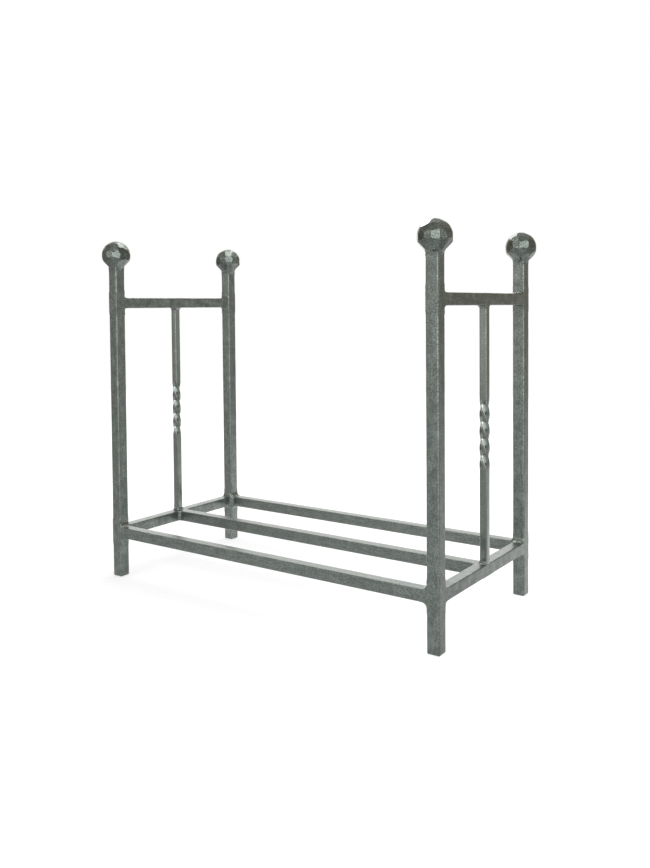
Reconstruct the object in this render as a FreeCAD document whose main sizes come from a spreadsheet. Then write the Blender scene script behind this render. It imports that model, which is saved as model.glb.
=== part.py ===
import FreeCAD, Part
import math
import os
import Sketcher

# A welded steel log holder. Two end frames, each of two square posts, a top rail, a cross rail
# and a spindle with a twist in its middle, are tied together by three long rails that carry
# the logs. A hammered ball crowns each post, and weld beads hold every joint.
# The bars of each side lie flush with one another on its outer face.
# Millimetres. +X runs along the long rails to the right, +Y from the front to the rear, +Z up.
# The origin is on the floor, midway between the four posts.

SIZES = [
    ("post_section", 20.0, "side of the square posts"),
    ("post_arris", 1.2, "flat filed along the corners of the posts"),
    ("foot_arris", 1.6, "flat filed round the foot of each post"),
    ("post_height", 547.5, "floor to the ball's seat"),
    ("post_pitch_long", 630.0, "left post to right post, centre to centre"),
    ("post_pitch_deep", 295.0, "front post to rear post, centre to centre"),
    ("rail_section", 18.5, "side of the square rails"),
    ("rail_arris", 1.0, "flat filed along the corners of the rails"),
    ("rail_top_height", 88.5, "floor to the bed on which the logs lie"),
    ("top_rail_drop", 54.0, "ball's seat down to the upper face of the top rails"),
    ("spindle_section", 12.0, "side of the square spindles"),
    ("twist_length", 101.0, "length of the twist in each spindle"),
    ("ball_radius", 25.0, "ball before it is hammered"),
    ("hammer_depth", 0.7, "depth of each hammered flat below the ball's surface"),
    ("rail_weld_leg", 6.0, "beads above and below the ends of the lower rails"),
    ("top_weld_leg", 4.5, "beads above and below the ends of the top rails"),
    ("corner_weld_leg", 3.5, "upright beads in the inner corners at the posts"),
    ("middle_weld_leg", 4.0, "upright beads at the ends of the middle rail"),
    ("spindle_weld_leg", 3.0, "beads round the ends of the spindles"),
    ("neck_weld_rise", 4.5, "length of the weld under a ball along its post"),
    ("neck_weld_inset", 0.2, "weld under a ball to the rim of the ball's seat"),
    ("neck_weld_toe", 0.5, "thickness of that weld at its lower end"),
    ("weld_hollow", 1.25, "radius of a bead's hollow face for each millimetre of its leg"),
]

# One whole turn, left-handed, drawn as squares a sixteenth of a turn apart.
TWIST_DEGREES = -360.0
TWIST_STEPS = 16

# Each hammered flat spans this much of its ball. The flats lie in rings, named with the steps
# of one flat from the ball's equator up to the ring.
FLAT_DEGREES = 30.0
FLAT_RINGS = {"lower": -1, "equator": 0, "upper": 1, "crown": 2}

# Post names with their sides: left is -X, front is -Y.
CORNERS = [
    ("front_left", -1, -1),
    ("front_right", 1, -1),
    ("rear_left", -1, 1),
    ("rear_right", 1, 1),
]
ENDS = [("left", -1), ("right", 1)]
ROWS = [("front", -1), ("middle", 0), ("rear", 1)]

Vector = FreeCAD.Vector
Constraint = Sketcher.Constraint

# Axis numbers, the points of a sketched line or arc, a sketch's own origin, and the slack in
# millimetres for rounding when an edge is tested.
X, Y, Z = range(3)
START, END, CENTRE = range(1, 4)
ORIGIN = (-1, START)
ROUNDING = 1e-6

doc = FreeCAD.newDocument("log_holder")
sheet = doc.addObject("Spreadsheet::Sheet", "sizes")
for row, (alias, value, meaning) in enumerate(SIZES, start=1):
    sheet.set(f"A{row}", alias)
    sheet.set(f"B{row}", str(value))
    sheet.set(f"C{row}", meaning)
    sheet.setAlias(f"B{row}", alias)
doc.recompute()

# Lengths that several pieces share, worked out from the sheet.
HALF_LONG = "sizes.post_pitch_long / 2"
HALF_DEEP = "sizes.post_pitch_deep / 2"
POST_FACE_X = f"({HALF_LONG} - sizes.post_section / 2)"
POST_FACE_Y = f"({HALF_DEEP} - sizes.post_section / 2)"
OUTER_FACE_X = f"({HALF_LONG} + sizes.post_section / 2)"
OUTER_FACE_Y = f"({HALF_DEEP} + sizes.post_section / 2)"
RAIL_FACE_X = f"({OUTER_FACE_X} - sizes.rail_section)"
RAIL_FACE_Y = f"({OUTER_FACE_Y} - sizes.rail_section)"
RAIL_X = f"({OUTER_FACE_X} - sizes.rail_section / 2)"
RAIL_Y = f"({OUTER_FACE_Y} - sizes.rail_section / 2)"
SPINDLE_X = f"({OUTER_FACE_X} - sizes.spindle_section / 2)"
RAIL_MIDDLE = "sizes.rail_top_height - sizes.rail_section / 2"
RAIL_UNDER = "sizes.rail_top_height - sizes.rail_section"
TOP_RAIL_OVER = "(sizes.post_height - sizes.top_rail_drop)"
TOP_RAIL_UNDER = f"({TOP_RAIL_OVER} - sizes.rail_section)"
TOP_RAIL_MIDDLE = f"({TOP_RAIL_OVER} - sizes.rail_section / 2)"
RAIL_FLAT = "(sizes.rail_section - 2 * sizes.rail_arris)"
SPINDLE_LENGTH = f"({TOP_RAIL_UNDER} - sizes.rail_top_height)"
TWIST_START = f"(({SPINDLE_LENGTH} - sizes.twist_length) / 2)"
SEAT_RADIUS = "sizes.post_section / sqrt(2)"
SEAT_DROP = f"sqrt(sizes.ball_radius ^ 2 - ({SEAT_RADIUS}) ^ 2)"
FLAT_DISTANCE = "(sizes.ball_radius - sizes.hammer_depth)"


def bind(thing, expressions):
    """Tie properties of one document object to the sizes in the sheet."""
    for path, expression in expressions.items():
        thing.setExpression(path, expression)


def size_of(expression):
    """What an expression of the sheet comes to now, as a plain number."""
    return float(sheet.evalExpression(expression))


def new_body(label, x="0", y="0", z="0"):
    """An empty piece with its own origin at a place worked out from the sheet."""
    body = doc.addObject("PartDesign::Body", label)
    body.Label = label
    bind(body, {"Placement.Base.x": x, "Placement.Base.y": y, "Placement.Base.z": z})
    return body


def origin_part(body, role):
    """One of the piece's own origin planes or axes, by its role."""
    return next(part for part in body.Origin.OriginFeatures if part.Role == role)


def new_sketch(body, name, role, x="0", y="0", z="0", turn=None):
    """A sketch on one of the piece's origin planes, moved in that plane's own frame."""
    sketch = body.newObject("Sketcher::SketchObject", name)
    sketch.AttachmentSupport = [(origin_part(body, role), "")]
    sketch.MapMode = "FlatFace"
    if turn:
        sketch.AttachmentOffset = FreeCAD.Placement(Vector(), turn)
    bind(sketch, {
        "AttachmentOffset.Base.x": x,
        "AttachmentOffset.Base.y": y,
        "AttachmentOffset.Base.z": z,
    })
    return sketch


def drive(sketch, name, expression, kind, *where):
    """A dimension of a sketch that follows the sheet."""
    index = sketch.addConstraint(Constraint(kind, *where, size_of(expression)))
    sketch.renameConstraint(index, name)
    sketch.setExpression(f"Constraints.{name}", expression)


def draw_square(sketch, side, name="side"):
    """A square with its sides along the sketch's axes, centred on its origin."""
    half = size_of(side) / 2
    corners = [Vector(-half, -half), Vector(half, -half), Vector(half, half), Vector(-half, half)]
    lines = []
    for start, end in zip(corners, corners[1:] + corners[:1]):
        lines.append(sketch.addGeometry(Part.LineSegment(start, end)))
    for line, following in zip(lines, lines[1:] + lines[:1]):
        sketch.addConstraint(Constraint("Coincident", line, END, following, START))
    for line, direction in zip(lines, ("Horizontal", "Vertical", "Horizontal", "Vertical")):
        sketch.addConstraint(Constraint(direction, line))
    sketch.addConstraint(Constraint("Symmetric", lines[0], START, lines[2], START, *ORIGIN))
    sketch.addConstraint(Constraint("Equal", lines[0], lines[1]))
    drive(sketch, name, side, "Distance", lines[0])


def drive_point(sketch, name, line, end, x, y):
    """Put one end of a line at a place to the right of and above the sketch's origin."""
    drive(sketch, f"{name}_x", x, "DistanceX", *ORIGIN, line, end)
    drive(sketch, f"{name}_y", y, "DistanceY", *ORIGIN, line, end)


def join_arc(sketch, arc, start, end):
    """Join an arc to two line ends, whichever way round the arc runs."""
    goal = sketch.getPoint(*start)
    near, far = sorted((START, END), key=lambda tip: sketch.getPoint(arc, tip).distanceToPoint(goal))
    sketch.addConstraint(Constraint("Coincident", arc, near, *start))
    sketch.addConstraint(Constraint("Coincident", arc, far, *end))


def draw_bead(sketch, x, y, way_x, way_y, leg):
    """The hollow-faced section of a fillet weld in the corner at x, y, with its two legs
    running along the axes the ways given, each 1 or -1."""
    corner = Vector(size_of(x), size_of(y))
    reach = size_of(leg)
    radius = reach * size_of("sizes.weld_hollow")
    centre_off = (reach + math.sqrt(2 * radius ** 2 - reach ** 2)) / 2
    throat_off = centre_off - radius / math.sqrt(2)
    toe_x = corner + Vector(way_x * reach, 0)
    toe_y = corner + Vector(0, way_y * reach)
    throat = corner + Vector(way_x * throat_off, way_y * throat_off)
    along_x = sketch.addGeometry(Part.LineSegment(corner, toe_x))
    along_y = sketch.addGeometry(Part.LineSegment(corner, toe_y))
    hollow = sketch.addGeometry(Part.Arc(toe_x, throat, toe_y))
    sketch.addConstraint(Constraint("Coincident", along_x, START, along_y, START))
    sketch.addConstraint(Constraint("Horizontal", along_x))
    sketch.addConstraint(Constraint("Vertical", along_y))
    join_arc(sketch, hollow, (along_x, END), (along_y, END))
    drive_point(sketch, "corner", along_x, START, x, y)
    drive(sketch, "leg_x", leg, "Distance", along_x)
    drive(sketch, "leg_y", leg, "Distance", along_y)
    drive(sketch, "hollow", f"{leg} * sizes.weld_hollow", "Radius", hollow)


def pad(body, sketch, length, centred=False):
    """Extrude a sketch along its normal, or to both sides of it."""
    feature = body.newObject("PartDesign::Pad", f"{sketch.Name}_pad")
    feature.Profile = sketch
    feature.SideType = "Symmetric" if centred else "One side"
    bind(feature, {"Length": length})
    sketch.Visibility = False
    return feature


def pocket(body, sketch, depth, outward=False):
    """Cut a sketch's outline away below the sketch, or above it."""
    feature = body.newObject("PartDesign::Pocket", f"{sketch.Name}_cut")
    feature.Profile = sketch
    feature.Reversed = outward
    bind(feature, {"Length": depth})
    sketch.Visibility = False
    return feature


def file_edges(body, name, base, wanted, size):
    """File a flat along the edges of a feature that the given test picks."""
    doc.recompute()
    edges = [f"Edge{i}" for i, edge in enumerate(base.Shape.Edges, start=1) if wanted(edge)]
    chamfer = body.newObject("PartDesign::Chamfer", name)
    chamfer.Base = (base, edges)
    bind(chamfer, {"Size": size})
    return chamfer


def runs_along(axis):
    """A test for straight edges that run along one axis."""
    def wanted(edge):
        way = edge.Vertexes[-1].Point - edge.Vertexes[0].Point
        return way.Length - abs(way[axis]) < ROUNDING
    return wanted


def lies_at_foot(edge):
    """A test for edges in the plane of the floor."""
    return max(abs(vertex.Point.z) for vertex in edge.Vertexes) < ROUNDING


def mirror_to(body, originals, *roles):
    """Repeat features on the far side of each of the origin planes given."""
    pattern = doc.addObject("PartDesign::MultiTransform", f"{originals[0].Name}_mirrored")
    pattern.Originals = originals
    mirrors = []
    for role in roles:
        mirror = doc.addObject("PartDesign::Mirrored", f"{originals[0].Name}_{role}")
        mirror.MirrorPlane = (origin_part(body, role), [""])
        mirrors.append(mirror)
    pattern.Transformations = mirrors
    body.addObject(pattern)
    body.Tip = pattern


def make_post(label, x, y):
    """A square post from the floor to the seat of its ball, its corners and foot filed."""
    body = new_body(label, x, y)
    sketch = new_sketch(body, f"{label}_section", "XY_Plane")
    draw_square(sketch, "sizes.post_section")
    bar = pad(body, sketch, "sizes.post_height")
    corners = file_edges(body, f"{label}_corners", bar, runs_along(Z), "sizes.post_arris")
    file_edges(body, f"{label}_foot", corners, lies_at_foot, "sizes.foot_arris")
    return body


def make_rail(label, role, axis, length, x="0", y="0", z="0"):
    """A square rail, centred on its own middle, with its long corners filed."""
    body = new_body(label, x, y, z)
    sketch = new_sketch(body, f"{label}_section", role)
    draw_square(sketch, "sizes.rail_section")
    bar = pad(body, sketch, length, centred=True)
    file_edges(body, f"{label}_corners", bar, runs_along(axis), "sizes.rail_arris")
    return body


def make_spindle(label, x):
    """A thinner square bar between a cross rail and a top rail, twisted once in its middle."""
    body = new_body(label, x=x, z="sizes.rail_top_height")
    foot = new_sketch(body, f"{label}_foot", "XY_Plane")
    draw_square(foot, "sizes.spindle_section")
    pad(body, foot, TWIST_START)
    sections = []
    for step in range(TWIST_STEPS + 1):
        share = step / TWIST_STEPS
        turn = FreeCAD.Rotation(Vector(0, 0, 1), TWIST_DEGREES * share)
        height = f"{TWIST_START} + sizes.twist_length * {share}"
        section = new_sketch(body, f"{label}_twist_{step}", "XY_Plane", z=height, turn=turn)
        draw_square(section, "sizes.spindle_section")
        sections.append(section)
    doc.recompute()
    twist = body.newObject("PartDesign::AdditiveLoft", f"{label}_twist")
    twist.Profile = sections[0]
    twist.Sections = sections[1:]
    head = new_sketch(body, f"{label}_head", "XY_Plane", z=f"{TWIST_START} + sizes.twist_length")
    draw_square(head, "sizes.spindle_section")
    pad(body, head, TWIST_START)
    return body


def hammer_flat(body, name, latitude, longitude):
    """Cut one flat into a ball, square to the direction given in degrees."""
    up, out = math.sin(math.radians(latitude)), math.cos(math.radians(latitude))
    across, ahead = math.sin(math.radians(longitude)), math.cos(math.radians(longitude))
    tilt = FreeCAD.Rotation(Vector(1, 0, 0), -latitude)
    swing = FreeCAD.Rotation(Vector(0, 1, 0), longitude)
    sketch = new_sketch(
        body, f"{name}_outline", "YZ_Plane",
        x=f"{FLAT_DISTANCE} * {out * across}",
        y=f"{FLAT_DISTANCE} * {up}",
        z=f"{FLAT_DISTANCE} * {out * ahead}",
        turn=swing.multiply(tilt),
    )
    circle = sketch.addGeometry(Part.Circle(Vector(), Vector(0, 0, 1), size_of("sizes.ball_radius")))
    sketch.addConstraint(Constraint("Coincident", circle, CENTRE, *ORIGIN))
    drive(sketch, "radius", "sizes.ball_radius", "Radius", circle)
    return pocket(body, sketch, "sizes.ball_radius", outward=True)


def make_finial(label, x, y):
    """A ball cut flat to sit on its post and hammered all over into rings of small flats."""
    body = new_body(label, x, y, f"sizes.post_height + {SEAT_DROP}")
    ball = body.newObject("PartDesign::AdditiveSphere", f"{label}_ball")
    bind(ball, {
        "Radius": "sizes.ball_radius",
        "Angle1": f"-acos({SEAT_RADIUS} / sizes.ball_radius)",
    })
    for name, steps in FLAT_RINGS.items():
        latitude = steps * FLAT_DEGREES
        count = round(360.0 * math.cos(math.radians(latitude)) / FLAT_DEGREES)
        half_step = 180.0 / count
        first = hammer_flat(body, f"{label}_{name}", latitude, half_step)
        ring = body.newObject("PartDesign::PolarPattern", f"{label}_{name}_ring")
        ring.Originals = [first]
        ring.Axis = (origin_part(body, "Z_Axis"), [""])
        ring.Angle = 360.0
        ring.Occurrences = count
        body.Tip = ring
    hammer_flat(body, f"{label}_top", 90.0, 0.0)
    return body


def make_finial_welds():
    """Weld under each ball, from the rim of its seat down to the four faces of its post."""
    body = new_body("finial_welds")
    cone = body.newObject("PartDesign::AdditiveCone", "neck_cone")
    cone.AttachmentSupport = [(origin_part(body, "XY_Plane"), "")]
    cone.MapMode = "FlatFace"
    bind(cone, {
        "AttachmentOffset.Base.x": HALF_LONG,
        "AttachmentOffset.Base.y": HALF_DEEP,
        "AttachmentOffset.Base.z": "sizes.post_height - sizes.neck_weld_rise",
        "Radius1": "sizes.post_section / 2 + sizes.neck_weld_toe",
        "Radius2": f"{SEAT_RADIUS} - sizes.neck_weld_inset",
        "Height": "sizes.neck_weld_rise",
    })
    sketch = new_sketch(body, "neck_post", "XY_Plane", HALF_LONG, HALF_DEEP, "sizes.post_height")
    draw_square(sketch, "sizes.post_section")
    hole = pocket(body, sketch, "sizes.neck_weld_rise")
    mirror_to(body, [cone, hole], "YZ_Plane", "XZ_Plane")
    return body


def make_rail_welds(label, role, offset, face, under, over, leg):
    """Beads below and above the ends of a pair of rails, where they butt against the posts."""
    body = new_body(label)
    beads = []
    for name, height, way in (("under", under, -1), ("over", over, 1)):
        sketch = new_sketch(body, f"{label}_{name}", role, z=offset)
        draw_bead(sketch, face, height, -1, way, leg)
        beads.append(pad(body, sketch, RAIL_FLAT, centred=True))
    mirror_to(body, beads, "YZ_Plane", "XZ_Plane")
    return body


def make_corner_welds():
    """Upright beads in the inner corners between long rail, post and cross rail."""
    body = new_body("corner_welds")
    sketch = new_sketch(body, "corner_bead", "XY_Plane", z=RAIL_MIDDLE)
    leg = "(sizes.corner_weld_leg + 2 * abs(sizes.post_section - sizes.rail_section))"
    draw_bead(sketch, RAIL_FACE_X, RAIL_FACE_Y, -1, -1, leg)
    bead = pad(body, sketch, RAIL_FLAT, centred=True)
    post = new_sketch(body, "corner_post", "XY_Plane", HALF_LONG, HALF_DEEP, "sizes.rail_top_height")
    draw_square(post, "sizes.post_section")
    notch = pocket(body, post, "sizes.rail_section")
    mirror_to(body, [bead, notch], "YZ_Plane", "XZ_Plane")
    return body


def make_middle_rail_welds():
    """Upright beads at both sides of each end of the middle rail."""
    body = new_body("middle_rail_welds")
    sketch = new_sketch(body, "middle_bead", "XY_Plane", z=RAIL_MIDDLE)
    draw_bead(sketch, RAIL_FACE_X, "sizes.rail_section / 2", -1, 1, "sizes.middle_weld_leg")
    bead = pad(body, sketch, RAIL_FLAT, centred=True)
    mirror_to(body, [bead], "YZ_Plane", "XZ_Plane")
    return body


def make_spindle_welds(label, seat, way):
    """Beads at the front, rear and inner sides of one end of each spindle. The outer side
    is flush with the rail and needs none."""
    body = new_body(label)
    leg = "sizes.spindle_weld_leg"
    rear = new_sketch(body, f"{label}_rear", "YZ_Plane", z=SPINDLE_X)
    draw_bead(rear, "sizes.spindle_section / 2", seat, 1, way, leg)
    rear_bead = pad(body, rear, "sizes.spindle_section - 2 * sizes.rail_arris", centred=True)
    mirror_to(body, [rear_bead], "YZ_Plane", "XZ_Plane")
    inner = new_sketch(body, f"{label}_inner", "XZ_Plane")
    draw_bead(inner, f"{OUTER_FACE_X} - sizes.spindle_section", seat, -1, way, leg)
    inner_bead = pad(body, inner, "sizes.spindle_section", centred=True)
    mirror_to(body, [inner_bead], "YZ_Plane")
    return body


pieces = []
for corner, side_x, side_y in CORNERS:
    post_x, post_y = f"{side_x} * {HALF_LONG}", f"{side_y} * {HALF_DEEP}"
    pieces.append(make_post(f"post_{corner}", post_x, post_y))
    pieces.append(make_finial(f"finial_{corner}", post_x, post_y))

for row_name, side_y in ROWS:
    half_length = POST_FACE_X if side_y else RAIL_FACE_X
    pieces.append(make_rail(
        f"long_rail_{row_name}", "YZ_Plane", X, f"2 * {half_length}",
        y=f"{side_y} * {RAIL_Y}", z=RAIL_MIDDLE,
    ))

cross_length = f"2 * min({POST_FACE_Y}; {RAIL_FACE_Y})"
top_length = f"2 * {POST_FACE_Y}"
for end_name, side_x in ENDS:
    rail_x = f"{side_x} * {RAIL_X}"
    for kind, length, height in (
        ("cross_rail", cross_length, RAIL_MIDDLE),
        ("top_rail", top_length, TOP_RAIL_MIDDLE),
    ):
        pieces.append(make_rail(f"{kind}_{end_name}", "XZ_Plane", Y, length, x=rail_x, z=height))
    pieces.append(make_spindle(f"spindle_{end_name}", f"{side_x} * {SPINDLE_X}"))

pieces.append(make_finial_welds())
pieces.append(make_rail_welds(
    "long_rail_welds", "XZ_Plane", RAIL_Y, POST_FACE_X,
    RAIL_UNDER, "sizes.rail_top_height", "sizes.rail_weld_leg",
))
pieces.append(make_rail_welds(
    "cross_rail_welds", "YZ_Plane", RAIL_X, POST_FACE_Y,
    RAIL_UNDER, "sizes.rail_top_height", "sizes.rail_weld_leg",
))
pieces.append(make_rail_welds(
    "top_rail_welds", "YZ_Plane", RAIL_X, POST_FACE_Y,
    TOP_RAIL_UNDER, TOP_RAIL_OVER, "sizes.top_weld_leg",
))
pieces.append(make_corner_welds())
pieces.append(make_middle_rail_welds())
pieces.append(make_spindle_welds("spindle_foot_welds", "sizes.rail_top_height", 1))
pieces.append(make_spindle_welds("spindle_top_welds", TOP_RAIL_UNDER, -1))
doc.recompute()

failed = [thing.Name for thing in doc.Objects if {"Invalid", "Error"} & set(thing.State)]
if failed:
    raise RuntimeError(f"objects that failed: {failed}")
for piece in pieces:
    if piece.Shape.isNull() or not piece.Shape.isValid() or not piece.Shape.Solids:
        raise RuntimeError(f"{piece.Label} has no valid solid")

os.makedirs("parts", exist_ok=True)
for piece in pieces:
    piece.Shape.exportStep(f"parts/{piece.Label}.step")
    print(f"{piece.Label}: {len(piece.Shape.Solids)} solids, {piece.Shape.Volume:.1f} cubic mm")
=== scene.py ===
"""A welded log holder of square steel bar, dressed over its CAD frame and set in a white studio."""
import math
import random

import bmesh
import bpy
from mathutils import Matrix, Vector


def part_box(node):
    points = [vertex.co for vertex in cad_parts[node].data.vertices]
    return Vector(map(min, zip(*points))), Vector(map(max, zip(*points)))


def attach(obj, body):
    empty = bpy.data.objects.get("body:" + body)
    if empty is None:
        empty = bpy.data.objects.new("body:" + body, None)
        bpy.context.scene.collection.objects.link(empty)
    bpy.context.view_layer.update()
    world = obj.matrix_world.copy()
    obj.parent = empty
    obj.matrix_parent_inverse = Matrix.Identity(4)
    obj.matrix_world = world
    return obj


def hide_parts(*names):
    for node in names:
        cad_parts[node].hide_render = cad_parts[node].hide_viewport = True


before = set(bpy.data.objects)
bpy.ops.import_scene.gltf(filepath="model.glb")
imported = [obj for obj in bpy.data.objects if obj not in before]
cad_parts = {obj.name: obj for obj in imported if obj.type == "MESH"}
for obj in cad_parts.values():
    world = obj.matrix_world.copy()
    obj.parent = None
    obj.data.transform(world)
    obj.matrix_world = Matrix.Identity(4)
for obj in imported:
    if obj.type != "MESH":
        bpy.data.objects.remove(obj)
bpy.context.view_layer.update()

MM = 0.001
X, Y, Z = 0, 1, 2
ROWS = ("front", "middle", "rear")
SIDES = ("left", "right")
CORNERS = ("front_left", "front_right", "rear_left", "rear_right")


# Small hand tools

# Corners nearer than a hair are one, and a face or edge nearer than a touch lies at a cut or on the floor.
TOUCH = 0.1 * MM
HAIR = 0.001 * MM
# An edge or a normal lies along an axis when nearly all of its length does.
NEARLY_ALL = 0.99


def lay_tools_down():
    """Leave edit mode and deselect everything, so that the next tool touches only the next piece."""
    if bpy.context.object and bpy.context.object.mode != "OBJECT":
        bpy.ops.object.mode_set(mode="OBJECT")
    bpy.ops.object.select_all(action="DESELECT")


def settled():
    """The piece in hand, once its place and size are put into its mesh."""
    bpy.ops.object.transform_apply(location=True, rotation=True, scale=True)
    return bpy.context.object


def block(low, high):
    """A plain block between two corners."""
    lay_tools_down()
    bpy.ops.mesh.primitive_cube_add(size=1.0, location=(low + high) / 2, scale=high - low)
    return settled()


def pick(kind, wanted):
    """Select, in edit mode, those of the piece's edges or faces that a test accepts."""
    bpy.ops.mesh.select_mode(type={"edges": "EDGE", "faces": "FACE"}[kind])
    bpy.ops.mesh.select_all(action="DESELECT")
    mesh = bpy.context.object.data
    for item in getattr(bmesh.from_edit_mesh(mesh), kind):
        if wanted(item):
            item.select_set(True)
    bmesh.update_edit_mesh(mesh)


def finish_with(piece, kind, **settings):
    """Add a modifier to the piece and apply it."""
    modifier = piece.modifiers.new(kind.lower(), kind)
    for name, value in settings.items():
        setattr(modifier, name, value)
    bpy.ops.object.modifier_apply(modifier=modifier.name)


def roughen(piece, name, lump, depth, mid_level):
    """Push the piece's skin in and out with a cloud pattern of lumps this far across."""
    clouds = bpy.data.textures.new(name, "CLOUDS")
    clouds.noise_scale = lump
    clouds.noise_depth = 1
    finish_with(piece, "DISPLACE", texture=clouds, texture_coords="GLOBAL", strength=depth,
                mid_level=mid_level)


def weld_together(pieces):
    """Join pieces into the first one."""
    lay_tools_down()
    for piece in pieces:
        piece.select_set(True)
    bpy.context.view_layer.objects.active = pieces[0]
    bpy.ops.object.join()
    return pieces[0]


def middle_of(node):
    """The middle of a CAD node's box."""
    low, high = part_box(node)
    return (low + high) / 2


def hand_over(piece, name, material, nodes):
    """Name and paint a finished piece, and put it in the place of its CAD nodes."""
    piece.name = piece.data.name = name
    piece.data.materials.clear()
    piece.data.materials.append(material)
    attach(piece, "root")
    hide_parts(*nodes)


# Shader nodes

def linear(hex_colour):
    """An sRGB hex colour as the linear colour that shaders take."""
    levels = [int(hex_colour[i:i + 2], 16) / 255 for i in (1, 3, 5)]
    return [v / 12.92 if v <= 0.04045 else ((v + 0.055) / 1.055) ** 2.4 for v in levels] + [1.0]


def fresh_tree(name):
    """A new material and its empty node tree."""
    material = bpy.data.materials.new(name)
    material.use_nodes = True
    material.node_tree.nodes.clear()
    return material, material.node_tree


def add(tree, kind, inputs=None, **settings):
    """Add a node with its settings; an input is a value, or the output socket that feeds it."""
    node = tree.nodes.new(kind)
    for name, value in settings.items():
        setattr(node, name, value)
    for socket, value in (inputs or {}).items():
        if isinstance(value, bpy.types.NodeSocket):
            tree.links.new(value, node.inputs[socket])
        else:
            node.inputs[socket].default_value = value
    return node


def worked_out(tree, operation, *values):
    """The result of a sum on values or sockets."""
    return add(tree, "ShaderNodeMath", dict(enumerate(values)), operation=operation).outputs[0]


def noise(tree, place, lump, detail):
    """A noise pattern with lumps about this far across."""
    return add(tree, "ShaderNodeTexNoise", {"Vector": place, "Scale": 1 / lump, "Detail": detail})


def fade(tree, value, start, end, near, far):
    """A soft change from near to far as a value goes from start to end."""
    inputs = {"Value": value, "From Min": start, "From Max": end, "To Min": near, "To Max": far}
    return add(tree, "ShaderNodeMapRange", inputs, interpolation_type="SMOOTHSTEP").outputs[0]


# Finishes

# Three shades each, dark to light, and where they lie on the scale of shades.
PEWTER = ("#535a55", "#6a716c", "#7f8781")
RUBBED_PEWTER = ("#5b625c", "#656c66", "#707771")
SOOTED_PEWTER = ("#474d48", "#5c635e", "#737b75")
DARK_AT, MIDDLE_AT, LIGHT_AT = 0.15, 0.5, 0.85

# A fleck is lightest in its middle and darkens to its rim, and its outline wanders.
FLECK_LIGHT, FLECK_DARKENING = 0.75, -0.6
FLECK_RIM, FLECK_SOFTNESS = 0.75, 0.6
WANDER, DRIFT = 4 * MM, 1.6 * MM
# The other marks: how far across each is, and how much the grain and streaks add to the shade.
GRAIN, MOTTLE, STREAK = 1.3 * MM, 14 * MM, 3 * MM
GRAIN_SHARE, STREAK_SHARE = 0.9, 0.65
GRAIN_HEIGHT = 0.3
NOISE_MIDDLE = 0.5
METALLIC = 0.85


def lacquer_marks(tree, stretch, fleck):
    """The patterns in the lacquer: flecks, fine grain, broad mottle and drawn streaks."""
    place = add(tree, "ShaderNodeTexCoord").outputs["Object"]
    wander = noise(tree, place, WANDER, detail=2.0).outputs["Color"]
    drift = add(tree, "ShaderNodeVectorMath", {0: wander, "Scale": DRIFT}, operation="SCALE")
    strayed = add(tree, "ShaderNodeVectorMath", {0: place, 1: drift.outputs[0]}, operation="ADD")
    cells = add(tree, "ShaderNodeTexVoronoi",
                {"Vector": strayed.outputs[0], "Scale": 1 / fleck, "Smoothness": FLECK_SOFTNESS},
                feature="SMOOTH_F1").outputs["Distance"]
    flecks = add(tree, "ShaderNodeMapRange", {"Value": cells, "From Max": FLECK_RIM}).outputs[0]
    grain = noise(tree, place, GRAIN, detail=2.0).outputs["Fac"]
    mottle = noise(tree, place, MOTTLE, detail=3.0).outputs["Fac"]
    drawn = add(tree, "ShaderNodeMapping", {"Vector": place, "Scale": stretch}).outputs[0]
    streaks = noise(tree, drawn, STREAK, detail=3.0).outputs["Fac"]
    return flecks, grain, mottle, streaks


def hammertone(name, stretch, fleck=2.2 * MM, dimple=0.2 * MM, roughness=0.42, shades=PEWTER,
               coat=0.5, coat_roughness=0.22, blotch=0.9):
    """Mild steel under a pewter patina: a hammertone lacquer, sprayed on, left to craze and waxed.

    The lacquer pools into flecks a little over two millimetres across, each hollowed a little, so the
    grey sparkles from fleck to fleck; the bar's rolling marks show through as faint streaks along it.
    """
    material, tree = fresh_tree(name)
    flecks, grain, mottle, streaks = lacquer_marks(tree, stretch, fleck)
    shade = worked_out(tree, "MULTIPLY_ADD", flecks, FLECK_DARKENING, FLECK_LIGHT)
    for mark, share in ((grain, GRAIN_SHARE), (mottle, blotch), (streaks, STREAK_SHARE)):
        centred = worked_out(tree, "SUBTRACT", mark, NOISE_MIDDLE)
        shade = worked_out(tree, "MULTIPLY_ADD", centred, share, shade)
    colour = add(tree, "ShaderNodeValToRGB", {"Fac": shade})
    dark, light = colour.color_ramp.elements
    dark.position, dark.color = DARK_AT, linear(shades[0])
    light.position, light.color = LIGHT_AT, linear(shades[2])
    colour.color_ramp.elements.new(MIDDLE_AT).color = linear(shades[1])

    height = worked_out(tree, "MULTIPLY_ADD", grain, GRAIN_HEIGHT, flecks)
    bump = add(tree, "ShaderNodeBump", {"Height": height, "Strength": 1.0, "Distance": dimple})
    steel = add(tree, "ShaderNodeBsdfPrincipled",
                {"Base Color": colour.outputs["Color"], "Metallic": METALLIC, "Roughness": roughness,
                 "Coat Weight": coat, "Coat Roughness": coat_roughness, "Normal": bump.outputs[0]})
    add(tree, "ShaderNodeOutputMaterial", {"Surface": steel.outputs[0]})
    return material


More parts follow.
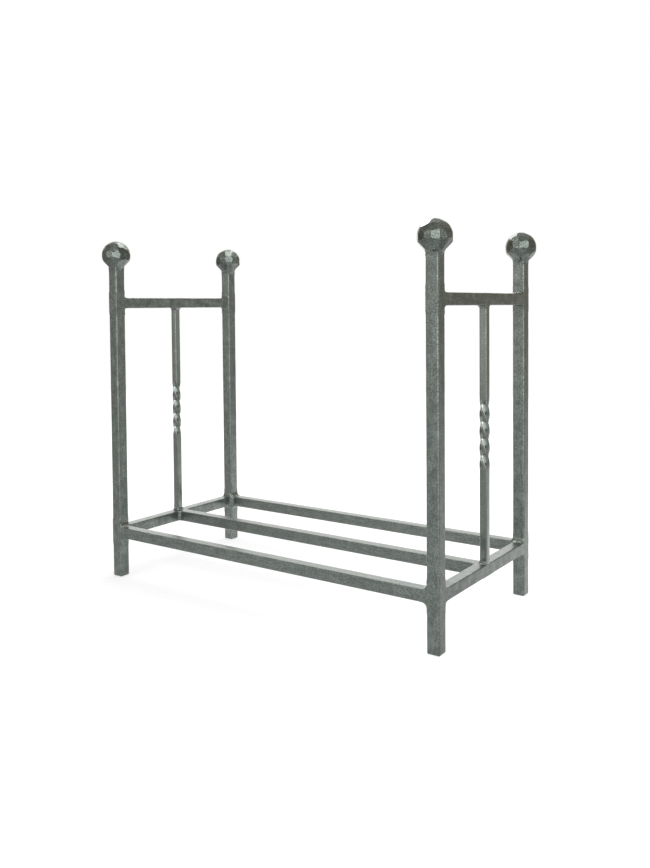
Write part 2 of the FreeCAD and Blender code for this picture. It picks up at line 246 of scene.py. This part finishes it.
# How the streaks are drawn out: the axis that they run along has the small number.
ALONG_X, ALONG_Y, ALONG_Z = (0.1, 1, 1), (1, 0.1, 1), (1, 1, 0.1)
NOT_DRAWN = (1, 1, 1)
LACQUER = {
    "x": hammertone("hammertone_steel_bar_x", ALONG_X, blotch=0.4),
    "y": hammertone("hammertone_steel_bar_y", ALONG_Y, blotch=1.5),
    "z": hammertone("hammertone_steel_bar_z", ALONG_Z),
    "spindle": hammertone("hammertone_twisted_steel", ALONG_Z, dimple=0.03 * MM, roughness=0.26,
                          shades=RUBBED_PEWTER, coat=1.0, coat_roughness=0.18),
    "ball": hammertone("hammertone_struck_steel", NOT_DRAWN, fleck=2.4 * MM, roughness=0.2,
                       shades=SOOTED_PEWTER),
    "bead": hammertone("hammertone_weld_bead", NOT_DRAWN, roughness=0.4),
}


# Posts and rails of square bar

POST_ARRIS, RAIL_ARRIS = 1.8 * MM, 1.2 * MM
# How finely a bar is cut: the steps along it, and the cuts across each face wider than a flat.
BAR_STEP = 4 * MM
BAR_FLAT, BAR_STRIP_CUTS = 8 * MM, 4
BAR_LUMP, BAR_LUMP_DEPTH = 22 * MM, 0.3 * MM
LONG_RUN = 20 * MM
# The mid level at which a pattern pushes a skin only inward, and the turn up to which a skin looks smooth.
INWARD = 1.0
SOFT_TURN = math.radians(35)


def along(edge, axis):
    """Whether an edge runs along this axis."""
    run = edge.verts[1].co - edge.verts[0].co
    return abs(run[axis]) > NEARLY_ALL * run.length


def cut_up(axis, steps, flat, strips):
    """Cut the bar in hand into short steps along its axis, and faces wider than a size into strips."""
    pick("edges", lambda e: along(e, axis) and e.calc_length() > LONG_RUN)
    bpy.ops.mesh.subdivide(number_cuts=steps)
    pick("edges", lambda e: not along(e, axis) and e.calc_length() > flat)
    bpy.ops.mesh.subdivide(number_cuts=strips)


def square_bar(node, axis, arris, footed=False):
    """A rolled square bar: soft arrises, and faces that are not dead flat."""
    low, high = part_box(node)
    bar = block(low, high)
    bpy.ops.object.mode_set(mode="EDIT")
    floor_edge = low.z + TOUCH
    pick("edges", lambda e: along(e, axis) or footed and all(v.co.z < floor_edge for v in e.verts))
    bpy.ops.mesh.bevel(offset=arris, offset_type="OFFSET", segments=3, profile=0.35, affect="EDGES")
    cut_up(axis, int((high - low)[axis] / BAR_STEP), BAR_FLAT, BAR_STRIP_CUTS)
    bpy.ops.object.mode_set(mode="OBJECT")
    roughen(bar, node + "_rolling", BAR_LUMP, BAR_LUMP_DEPTH, INWARD)
    bpy.ops.object.shade_smooth_by_angle(angle=SOFT_TURN)
    finish_with(bar, "WEIGHTED_NORMAL", keep_sharp=True)
    return bar


for corner in CORNERS:
    post = square_bar("post_" + corner, Z, POST_ARRIS, footed=True)
    hand_over(post, "bar_post_" + corner, LACQUER["z"], ["post_" + corner])
for row in ROWS:
    rail = square_bar("long_rail_" + row, X, RAIL_ARRIS)
    hand_over(rail, "bar_long_rail_" + row, LACQUER["x"], ["long_rail_" + row])
for side in SIDES:
    for level in ("cross", "top"):
        node = f"{level}_rail_{side}"
        rail = square_bar(node, Y, RAIL_ARRIS)
        hand_over(rail, "bar_" + node, LACQUER["y"], [node])


# Spindles with one turn of twist

SPINDLE, SPINDLE_ARRIS = 12 * MM, 1.8 * MM
SPINDLE_CUTS = 300
SPINDLE_FLAT, SPINDLE_STRIP_CUTS = 5 * MM, 3
SPINDLE_LUMP, SPINDLE_LUMP_DEPTH = 14 * MM, 0.2 * MM
TWIST_LENGTH = 101 * MM
LEFT_HANDED_TURN = -math.tau


def spindle(node):
    """A thin square bar, heated in the middle and turned once round, left-handed."""
    low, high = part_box(node)
    half = Vector((SPINDLE / 2, SPINDLE / 2, (high.z - low.z) / 2))
    bar = block(-half, half)
    bpy.ops.object.mode_set(mode="EDIT")
    pick("edges", lambda e: along(e, Z))
    bpy.ops.mesh.bevel(offset=SPINDLE_ARRIS, offset_type="OFFSET", segments=4, affect="EDGES")
    cut_up(Z, SPINDLE_CUTS, SPINDLE_FLAT, SPINDLE_STRIP_CUTS)
    bpy.ops.object.mode_set(mode="OBJECT")
    share = TWIST_LENGTH / (2 * half.z) / 2
    finish_with(bar, "SIMPLE_DEFORM", deform_method="TWIST", deform_axis="Z", angle=LEFT_HANDED_TURN,
                limits=(0.5 - share, 0.5 + share))
    bar.location = (low + high) / 2
    settled()
    roughen(bar, node + "_rolling", SPINDLE_LUMP, SPINDLE_LUMP_DEPTH, INWARD)
    bpy.ops.object.shade_smooth_by_angle(angle=SOFT_TURN)
    return bar


for side in SIDES:
    node = "spindle_" + side
    hand_over(spindle(node), "twisted_" + node, LACQUER["spindle"], [node])


# Balls struck all over with a hammer

# The broad flats of each ball, read off the photo on the sides that it shows:
# the way each faces, in degrees round and up, and how deep it is struck in millimetres.
BROAD_FLATS = {
    "front_left": (
        (-14, 42, 0.75), (-40, -1, 0.9), (-16, 17, 0.9), (-12, -9, 0.9), (18, -8, 1.0), (-84, 28, 1.0),
        (-93, 11, 0.8), (-93, -17, 1.4), (-47, -24, 1.2), (-71, 3, 0.9), (-54, 22, 0.8), (-49, 40, 0.9),
        (11, 35, 0.9),
    ),
    "front_right": (
        (-115, 49, 1.5), (-60, 2, 1.0), (-65, 29, 1.0), (-36, 31, 1.0), (-35, 2, 1.0), (-11, 9, 1.1),
        (-87, 2, 1.0), (-111, 1, 1.1), (-95, 24, 0.9), (-62, -27, 1.5), (-28, -27, 1.8), (3, -32, 2.6),
        (-96, -28, 2.2), (-57, 57, 0.9), (-6, 33, 0.8),
    ),
    "rear_left": (
        (-46, 38, 1.1), (-43, 9, 1.1), (-43, -12, 0.9), (-72, -3, 1.0), (-100, 1, 1.1), (-8, -2, 1.3),
        (-80, 33, 1.1), (-8, 33, 1.1), (-73, -33, 2.2), (-41, -38, 2.2), (-10, -30, 2.2), (-46, 63, 0.8),
    ),
    "rear_right": (
        (-122, 49, 1.1), (-52, 10, 1.05), (-84, 9, 1.05), (-61, 33, 1.0), (-18, 12, 1.2), (-112, 3, 1.1),
        (-93, 32, 0.8), (-90, -21, 1.6), (-58, -22, 1.6), (-28, -20, 1.6), (-68, 57, 0.8),
    ),
}
# The rest of a ball is struck in rings:
# how many blows each has, at what height in degrees, and how deep in millimetres.
RINGS = ((10, -40, 2.6), (13, 3, 0.7), (10, 35, 0.7), (6, 63, 0.7))
# How far a blow of a ring strays: in shares of the way to the next, in degrees down and in millimetres.
STRAY_ROUND, STRAY_DOWN, STRAY_DEPTH = 0.2, 5, 0.2
CLEAR_OF_FLATS = math.radians(22)
SEED = 7
BALL_SEGMENTS, BALL_RINGS = 64, 32
BALL_CLEARANCE, CROWN_DROP = 0.05 * MM, 0.2 * MM
SLIVER = 0.05 * MM
FLAT_EDGE, FLAT_TURN = 0.4 * MM, math.radians(12)


def facing(way, lean):
    """The direction this many degrees round from the x axis, and this many up."""
    way, lean = math.radians(way), math.radians(lean)
    return Vector((math.cos(lean) * math.cos(way), math.cos(lean) * math.sin(way), math.sin(lean)))


def blows_on(corner, chance):
    """Every flat of a ball: its broad ones, and those of the rings that keep clear of the others."""
    flats = [(facing(way, lean), depth) for way, lean, depth in BROAD_FLATS[corner]]
    for count, lean, depth in RINGS:
        for blow in range(count):
            toward = facing(360 * (blow + chance.uniform(-STRAY_ROUND, STRAY_ROUND)) / count,
                            lean + chance.uniform(-STRAY_DOWN, 0))
            if all(toward.angle(other[0]) > CLEAR_OF_FLATS for other in flats):
                flats.append((toward, depth + chance.uniform(-STRAY_DEPTH, STRAY_DEPTH)))
    return flats


def strike(point, toward):
    """Flatten the ball in hand: what lies beyond a point in this direction goes."""
    bpy.ops.mesh.select_all(action="SELECT")
    bpy.ops.mesh.bisect(plane_co=point, plane_no=toward, use_fill=True, clear_outer=True)


def struck_ball(corner, chance):
    """A forged ball, its skin beaten into flats about as wide as the hammer's face."""
    low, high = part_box("finial_" + corner)
    post_low, post_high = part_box("post_" + corner)
    radius = (high.x - low.x) / 2
    # The ball is cut off where it is as wide as the post is from corner to corner.
    seat = (post_high.x - post_low.x) / math.sqrt(2)
    lift = math.sqrt(radius ** 2 - seat ** 2)
    centre = Vector(((low.x + high.x) / 2, (low.y + high.y) / 2, low.z + lift))
    lay_tools_down()
    bpy.ops.mesh.primitive_uv_sphere_add(segments=BALL_SEGMENTS, ring_count=BALL_RINGS,
                                         radius=radius - BALL_CLEARANCE, location=centre)
    ball = settled()
    bpy.ops.object.mode_set(mode="EDIT")
    for toward, depth in blows_on(corner, chance):
        strike(centre + toward * (radius - depth * MM), toward)
    strike(low, (0, 0, -1))
    strike(high - Vector((0, 0, CROWN_DROP)), (0, 0, 1))
    bpy.ops.mesh.select_all(action="SELECT")
    bpy.ops.mesh.remove_doubles(threshold=SLIVER)
    bpy.ops.mesh.normals_make_consistent(inside=False)
    bpy.ops.object.mode_set(mode="OBJECT")
    bpy.ops.object.shade_smooth()
    finish_with(ball, "BEVEL", width=FLAT_EDGE, segments=2, limit_method="ANGLE", angle_limit=FLAT_TURN,
                harden_normals=True)
    return ball


chance = random.Random(SEED)
for corner in CORNERS:
    ball = struck_ball(corner, chance)
    hand_over(ball, "struck_finial_" + corner, LACQUER["ball"], ["finial_" + corner])


# Weld metal

RUN_OUT, DRAWN_IN = 9 * MM, 1.2 * MM
BEAD_SWELL = 0.7 * MM
BEAD_VOXEL, BEAD_PASSES = 0.7 * MM, 10
RIPPLE, RIPPLE_DEPTH, RIPPLE_LEVEL = 4 * MM, 0.4 * MM, 0.85


def draw_out(run, cut, step, taper):
    """Draw out the end of a block that lies at this cut along its run, and taper it."""
    pick("faces", lambda f: abs(f.normal[run]) > NEARLY_ALL
         and abs(f.calc_center_median()[run] - cut) < TOUCH)
    shift = [step if i == run else 0 for i in range(3)]
    bpy.ops.mesh.extrude_region_move(TRANSFORM_OT_translate={"value": shift})
    bpy.ops.transform.resize(value=[1 if i == run else taper for i in range(3)])


def run_of(node):
    """The axis that a bar runs along."""
    if node.startswith("long_rail"):
        return X
    return Z if node.startswith(("post", "spindle")) else Y


def stub(node, near, reach):
    """The part of a bar within reach of a joint's middle.

    It is drawn in at its cut ends, to run out under the bar's skin.
    """
    bar_low, bar_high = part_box(node)
    run = run_of(node)
    half = Vector((SPINDLE / 2,) * 3) if node.startswith("spindle") else Vector((reach,) * 3)
    half[run] = reach - RUN_OUT
    low = Vector([max(a, b - c) for a, b, c in zip(bar_low, near, half)])
    high = Vector([min(a, b + c) for a, b, c in zip(bar_high, near, half)])
    piece = block(low, high)
    bpy.ops.object.mode_set(mode="EDIT")
    for cut, bar_end, step in ((low[run], bar_low[run], -RUN_OUT), (high[run], bar_high[run], RUN_OUT)):
        if abs(cut - bar_end) > abs(step):
            draw_out(run, cut, step, 1 - DRAWN_IN / (high - low)[(run + 1) % 3])
    bpy.ops.object.mode_set(mode="OBJECT")
    return piece


def melt(metal, voxel, passes):
    """Melt what was joined into one smooth skin."""
    finish_with(metal, "REMESH", mode="VOXEL", voxel_size=voxel)
    finish_with(metal, "SMOOTH", factor=0.5, iterations=passes)


def weld_metal(name, nodes, joints, reach):
    """Beads run along the joints, melted into the bar ends that they hold and left rippled."""
    beads = []
    for node in nodes:
        bead = bpy.data.objects.new(node + "_copy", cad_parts[node].data.copy())
        bpy.context.scene.collection.objects.link(bead)
        bpy.context.view_layer.objects.active = bead
        finish_with(bead, "WELD", merge_threshold=HAIR)
        finish_with(bead, "DISPLACE", strength=BEAD_SWELL, mid_level=0.0)
        beads.append(bead)
    stubs = [stub(bar, near, reach) for near, bars in joints for bar in bars]
    metal = weld_together(beads + stubs)
    bpy.ops.object.mode_set(mode="EDIT")
    bpy.ops.mesh.select_all(action="SELECT")
    bpy.ops.mesh.remove_doubles(threshold=HAIR)
    bpy.ops.object.mode_set(mode="OBJECT")
    melt(metal, BEAD_VOXEL, BEAD_PASSES)
    roughen(metal, name + "_ripple", RIPPLE, RIPPLE_DEPTH, RIPPLE_LEVEL)
    bpy.ops.object.shade_smooth()
    hand_over(metal, name, LACQUER["bead"], nodes)


def joint(upright, level_of, bars):
    """A joint on an upright's axis at the height of a rail: its middle, and the bars that meet there."""
    axis = middle_of(upright)
    return Vector((axis.x, axis.y, middle_of(level_of).z)), bars


low_joints, top_joints, foot_joints, head_joints = [], [], [], []
for corner in CORNERS:
    row, side = corner.split("_")
    post = "post_" + corner
    low_bars = [post, "long_rail_" + row, "cross_rail_" + side]
    low_joints.append(joint(post, "long_rail_front", low_bars))
    top_joints.append(joint(post, "top_rail_left", [post, "top_rail_" + side]))
for side in SIDES:
    bar, cross, top = "spindle_" + side, "cross_rail_" + side, "top_rail_" + side
    foot_joints.append(joint(bar, cross, [cross, "long_rail_middle", bar]))
    head_joints.append(joint(bar, top, [bar, top]))
low_welds = ["long_rail_welds", "cross_rail_welds", "corner_welds"]
weld_metal("corner_weld_metal", low_welds, low_joints, reach=30 * MM)
weld_metal("top_rail_weld_metal", ["top_rail_welds"], top_joints, reach=27 * MM)
weld_metal("middle_rail_weld_metal", ["middle_rail_welds", "spindle_foot_welds"], foot_joints,
           reach=28 * MM)
weld_metal("spindle_top_weld_metal", ["spindle_top_welds"], head_joints, reach=22 * MM)


# Necks under the balls

NECK_LAP, NECK_TAPER = 3 * MM, 0.94
NECK_RADIUS, NECK_TOP_RADIUS = 10.2 * MM, 17.5 * MM
NECK_HEIGHT, NECK_LIFT = 12.5 * MM, 1.25 * MM
NECK_VOXEL, NECK_PASSES = 0.6 * MM, 14
NECK_LUMP, NECK_LUMP_DEPTH, NECK_LUMP_LEVEL = 3 * MM, 0.9 * MM, 0.7


def neck(corner):
    """A post's end carried up into its ball, and the cone of metal run in under the ball's overhang."""
    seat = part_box("finial_" + corner)[0].z
    post_low, post_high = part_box("post_" + corner)
    post_end = block(Vector((*post_low.xy, seat - NECK_LAP)), Vector((*post_high.xy, seat + NECK_LAP)))
    bpy.ops.object.mode_set(mode="EDIT")
    draw_out(Z, seat - NECK_LAP, -RUN_OUT, NECK_TAPER)
    lay_tools_down()
    axis = middle_of("post_" + corner)
    bpy.ops.mesh.primitive_cone_add(vertices=48, radius1=NECK_RADIUS, radius2=NECK_TOP_RADIUS,
                                    depth=NECK_HEIGHT, location=(axis.x, axis.y, seat + NECK_LIFT))
    return [post_end, settled()]


collar = weld_together([piece for corner in CORNERS for piece in neck(corner)])
melt(collar, NECK_VOXEL, NECK_PASSES)
roughen(collar, "neck_lumps", NECK_LUMP, NECK_LUMP_DEPTH, NECK_LUMP_LEVEL)
bpy.ops.object.shade_smooth()
hand_over(collar, "finial_weld_metal", LACQUER["bead"], ["finial_welds"])


# Camera

# Fitted to the edges of the bars in the photo: place in metres, then focal length and centre in pixels.
CAMERA_PLACE = Vector((0.86603, -1.18831, 0.475))
YAW, PITCH, ROLL = (math.radians(angle) for angle in (35.081, 2.076, 0.469))
FOCAL, CENTRE_X, CENTRE_Y = 866.7, 326.06, 338.07
IMAGE_WIDTH, IMAGE_HEIGHT = 650, 868
SENSOR = 36

ahead = Vector((-math.sin(YAW) * math.cos(PITCH), math.cos(YAW) * math.cos(PITCH), -math.sin(PITCH)))
across = Matrix.Rotation(ROLL, 3, ahead) @ Vector((math.cos(YAW), math.sin(YAW), 0))
turned = Matrix((across, across.cross(ahead), -ahead)).transposed().to_4x4()
camera = bpy.data.objects.new("camera", bpy.data.cameras.new("camera"))
camera.matrix_world = Matrix.Translation(CAMERA_PLACE) @ turned
camera.data.sensor_fit = "VERTICAL"
camera.data.sensor_height = SENSOR
camera.data.lens = FOCAL / IMAGE_HEIGHT * SENSOR
camera.data.shift_x = (IMAGE_WIDTH / 2 - CENTRE_X) / IMAGE_HEIGHT
camera.data.shift_y = (CENTRE_Y - IMAGE_HEIGHT / 2) / IMAGE_HEIGHT
bpy.context.scene.collection.objects.link(camera)
bpy.context.scene.camera = camera


# Studio lights

LAMP_PLACE = (-0.3, 0.35, 1.3)
LAMP_WIDTH, LAMP_DEPTH = 0.6, 0.88
LAMP_RADIANCE = 4.4
# What the steel mirrors round it: a direction, the cosines at which a glow starts and is full, its strength.
PANELS = {
    "front right": ((0.68, -0.68, 0.22), 0.72, 0.92, 3.0),
    "front": ((0.17, -0.95, 0.26), 0.965, 0.99, 7.0),
    "front left": ((-0.42, -0.88, 0.22), 0.84, 0.98, 1.3),
    "rear left": ((-0.59, 0.78, 0.2), 0.76, 0.92, 1.3),
    "rear right": ((0.81, 0.585, -0.05), 0.92, 0.99, 0.8),
    "ceiling": ((0, 0, 1), 0.35, 0.95, 0.5),
}
WALL_GLOW, EVEN_GLOW = 0.4, 0.75


def overhead_softbox():
    """One soft lamp above the rack, facing straight down."""
    lamp = bpy.data.lights.new("overhead_softbox", "AREA")
    lamp.shape, lamp.size, lamp.size_y = "RECTANGLE", LAMP_WIDTH, LAMP_DEPTH
    lamp.energy = LAMP_RADIANCE * math.pi * LAMP_WIDTH * LAMP_DEPTH
    holder = bpy.data.objects.new("overhead_softbox", lamp)
    holder.location = LAMP_PLACE
    holder.rotation_euler = Vector((0, 0, -1)).to_track_quat("-Z", "Y").to_euler()
    bpy.context.scene.collection.objects.link(holder)


def white_studio():
    """The room: warm walls and cool panels in the steel, even light on the floor, white to the camera."""
    world = bpy.data.worlds.new("white_studio")
    world.use_nodes = True
    tree = world.node_tree
    tree.nodes.clear()
    gaze = add(tree, "ShaderNodeTexCoord").outputs["Generated"]
    glow = 0.0
    for toward, start, full, strength in PANELS.values():
        aligned = add(tree, "ShaderNodeVectorMath", {0: gaze, 1: toward}, operation="DOT_PRODUCT")
        panel = fade(tree, aligned.outputs["Value"], start, full, 0.0, strength)
        glow = worked_out(tree, "ADD", panel, glow)
    walls = add(tree, "ShaderNodeBackground", {"Color": linear("#fff4de"), "Strength": WALL_GLOW})
    panels = add(tree, "ShaderNodeBackground", {"Color": linear("#f8fbff"), "Strength": glow})
    room = add(tree, "ShaderNodeAddShader", {0: walls.outputs[0], 1: panels.outputs[0]})
    even = add(tree, "ShaderNodeBackground", {"Color": linear("#ffffff"), "Strength": EVEN_GLOW})
    white = add(tree, "ShaderNodeBackground", {"Color": linear("#ffffff"), "Strength": 1.0})
    ray = add(tree, "ShaderNodeLightPath").outputs
    lit = add(tree, "ShaderNodeMixShader",
              {0: ray["Is Glossy Ray"], 1: even.outputs[0], 2: room.outputs[0]})
    seen = add(tree, "ShaderNodeMixShader",
               {0: ray["Is Camera Ray"], 1: lit.outputs[0], 2: white.outputs[0]})
    add(tree, "ShaderNodeOutputWorld", {"Surface": seen.outputs[0]})
    return world


overhead_softbox()
bpy.context.scene.world = white_studio()


# Studio floor

FLOOR_SIZE, FLOOR_DROP = 6, 0.2 * MM
BEHIND = (-0.12, 0.62, 0)
AHEAD_RIGHT = (1.5, -1.4, 0)
BY_THE_FEET = (0.1, -0.4, 0)
AT_LEFT = (-0.35, -0.1, 0)
# Painted pools of light: the floor glows here of itself, and only the steel's reflections see it.
# Each glow: a place, the distances from it between which the glow changes, its strength at each.
PAINTED_POOLS_OF_LIGHT = (
    (BEHIND, 0.2, 1.0, 0.9, 0.0),
    (BEHIND, 1.0, 2.6, 0.5, 0.33),
    (AHEAD_RIGHT, 0.6, 1.5, 1.3, 0.0),
    (BY_THE_FEET, 0.15, 0.6, 0.22, 0.0),
)
# Painted glow of the floor to the camera: weakest near the left, so that its shadows show there, and
# stronger away from it, where they wash out.
GLOW_TO_THE_CAMERA = (AT_LEFT, 0.25, 0.95, 0.66, 0.9)


def floor_glow(tree, spot, place, start, end, near, far):
    """A glow that changes with the distance from a place."""
    away = add(tree, "ShaderNodeVectorMath", {0: spot, 1: place}, operation="DISTANCE")
    return fade(tree, away.outputs["Value"], start, end, near, far)


def white_floor_with_painted_glow():
    """A matt white floor that also glows of itself: to the camera its glow leaves shadows only faint, and in
    the steel it shows painted pools of light.
    """
    material, tree = fresh_tree("white_floor_with_painted_glow")
    spot = add(tree, "ShaderNodeTexCoord").outputs["Object"]
    painted_pools = 0.0
    for pool in PAINTED_POOLS_OF_LIGHT:
        painted_pools = worked_out(tree, "ADD", floor_glow(tree, spot, *pool), painted_pools)
    backdrop = floor_glow(tree, spot, *GLOW_TO_THE_CAMERA)
    ray = add(tree, "ShaderNodeLightPath").outputs
    # Painted light: the pools glow only in the steel's reflections, and the backdrop glow only to the
    # camera.
    mirrored = worked_out(tree, "MULTIPLY", ray["Is Glossy Ray"], painted_pools)
    strength = worked_out(tree, "MULTIPLY_ADD", ray["Is Camera Ray"], backdrop, mirrored)
    glow = add(tree, "ShaderNodeEmission", {"Strength": strength})
    matt = add(tree, "ShaderNodeBsdfDiffuse", {"Color": linear("#aaaaaa")})
    both = add(tree, "ShaderNodeAddShader", {0: glow.outputs[0], 1: matt.outputs[0]})
    add(tree, "ShaderNodeOutputMaterial", {"Surface": both.outputs[0]})
    return material


lay_tools_down()
bpy.ops.mesh.primitive_plane_add(size=FLOOR_SIZE, location=(0, 0, -FLOOR_DROP))
floor = bpy.context.object
floor.name = "studio_floor"
floor.data.materials.append(white_floor_with_painted_glow())

bpy.context.scene.view_settings.view_transform = "Standard"
